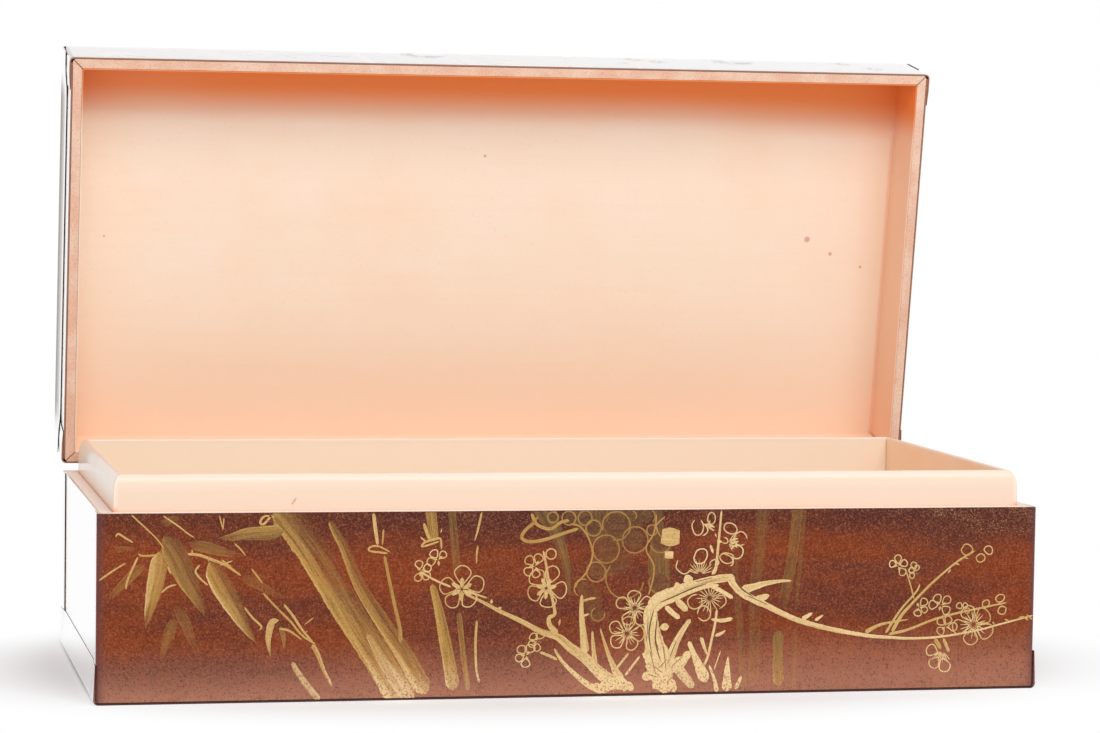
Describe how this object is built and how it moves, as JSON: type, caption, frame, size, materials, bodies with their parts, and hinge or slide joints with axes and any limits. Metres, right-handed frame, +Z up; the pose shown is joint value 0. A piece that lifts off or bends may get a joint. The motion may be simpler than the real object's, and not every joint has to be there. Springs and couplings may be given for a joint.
{
  "type": "leather box",
  "caption": "Long rectangular box of boards covered in lacquered leather, with a lined inner lip and a tray lid that stands open on two back hinges.",
  "frame": {"origin": "centre of the underside of the base", "axes": "+Z up, +X along the length of the box, -Y out of the painted front, with the lid hinged at +Y"},
  "size_m": [0.422, 0.2343, 0.2842],
  "materials": {
    "lacquered_leather": "satin brown lacquer over fine-grained leather, with gilt plant ornament",
    "lining_leather": "matte pale peach leather",
    "board_wood": "bare light wood, with its rim edges covered in suede",
    "hinge_brass": "aged brass"
  },
  "bodies": {
    "base": {"base_bottom_board": "board_wood", "base_front_board": "board_wood", "base_rear_board": "board_wood", "base_left_board": "board_wood", "base_right_board": "board_wood", "lip_front_board": "board_wood", "lip_rear_board": "board_wood", "lip_left_board": "board_wood", "lip_right_board": "board_wood", "lip_front_leather": "lining_leather", "lip_rear_leather": "lining_leather", "lip_left_leather": "lining_leather", "lip_right_leather": "lining_leather", "base_floor_lining": "lining_leather", "base_bottom_cover": "lacquered_leather", "base_front_cover": "lacquered_leather", "base_rear_cover": "lacquered_leather", "base_left_cover": "lacquered_leather", "base_right_cover": "lacquered_leather", "left_hinge_base_leaf": "hinge_brass", "left_hinge_pin": "hinge_brass", "right_hinge_base_leaf": "hinge_brass", "right_hinge_pin": "hinge_brass", "left_hinge_base_nail_1": "hinge_brass", "left_hinge_base_nail_2": "hinge_brass", "left_hinge_base_nail_3": "hinge_brass", "right_hinge_base_nail_1": "hinge_brass", "right_hinge_base_nail_2": "hinge_brass", "right_hinge_base_nail_3": "hinge_brass"},
    "lid": {"lid_top_board": "board_wood", "lid_front_board": "board_wood", "lid_rear_board": "board_wood", "lid_left_board": "board_wood", "lid_right_board": "board_wood", "lid_panel_lining": "lining_leather", "lid_front_lining": "lining_leather", "lid_rear_lining": "lining_leather", "lid_left_lining": "lining_leather", "lid_right_lining": "lining_leather", "lid_top_cover": "lacquered_leather", "lid_front_cover": "lacquered_leather", "lid_rear_cover": "lacquered_leather", "lid_left_cover": "lacquered_leather", "lid_right_cover": "lacquered_leather", "left_hinge_lid_leaf": "hinge_brass", "right_hinge_lid_leaf": "hinge_brass", "left_hinge_lid_nail_1": "hinge_brass", "left_hinge_lid_nail_2": "hinge_brass", "left_hinge_lid_nail_3": "hinge_brass", "right_hinge_lid_nail_1": "hinge_brass", "right_hinge_lid_nail_2": "hinge_brass", "right_hinge_lid_nail_3": "hinge_brass"}
  },
  "joints": [
    {"name": "lid_hinge", "type": "hinge", "parent": "base", "child": "lid", "pos_m": [0, 0.1011, 0.082], "axis": [1, 0, 0], "range_deg": [0, 80]}
  ]
}
